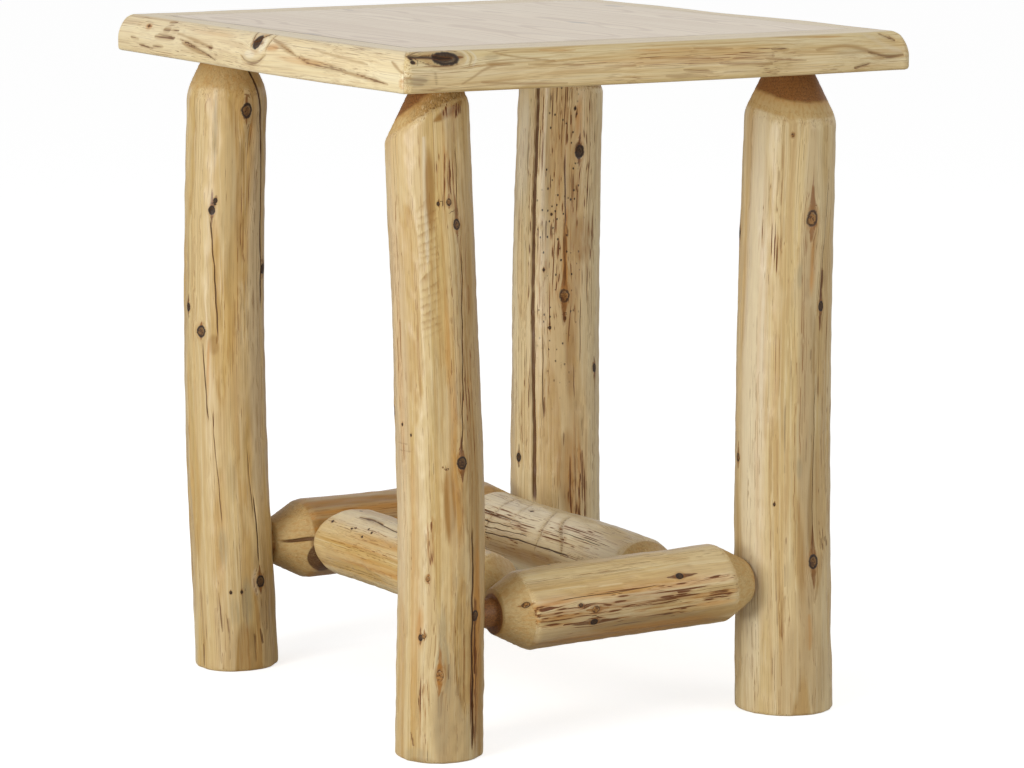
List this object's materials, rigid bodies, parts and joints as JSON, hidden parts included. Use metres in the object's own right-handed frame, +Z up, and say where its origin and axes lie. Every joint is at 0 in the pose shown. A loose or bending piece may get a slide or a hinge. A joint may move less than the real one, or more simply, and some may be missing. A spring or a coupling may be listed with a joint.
{
  "type": "side table",
  "caption": "Rustic side table of peeled softwood logs: crooked legs with coned tenons, log stretchers and a board top with mitred wavy edging.",
  "frame": {"origin": "on the floor, at the middle of the table's footprint", "axes": "+Z up, +Y to the back, +X to the right seen from the front; the stretchers run along X and the cross logs along Y"},
  "size_m": [0.519, 0.5774, 0.61],
  "materials": {
    "log_wood": "peeled softwood log, cream sapwood with brown streaks and knots, clear satin lacquer",
    "edging_wood": "split peeled log with its wavy edge kept, clear satin lacquer",
    "board_wood": "planed softwood boards, clear satin lacquer",
    "dowel_wood": "bare hardwood dowel"
  },
  "bodies": {
    "root": {"top_board_1": "board_wood", "top_board_2": "board_wood", "top_board_3": "board_wood", "top_board_4": "board_wood", "top_board_5": "board_wood", "edge_rail_front": "edging_wood", "edge_rail_right": "edging_wood", "edge_rail_back": "edging_wood", "edge_rail_left": "edging_wood", "rail_dowels_front": "dowel_wood", "rail_dowels_right": "dowel_wood", "rail_dowels_back": "dowel_wood", "rail_dowels_left": "dowel_wood", "leg_front_left": "log_wood", "leg_front_right": "log_wood", "leg_back_left": "log_wood", "leg_back_right": "log_wood", "stretcher_front": "log_wood", "stretcher_back": "log_wood", "cross_log_left": "log_wood", "cross_log_right": "log_wood"}
  },
  "joints": []
}
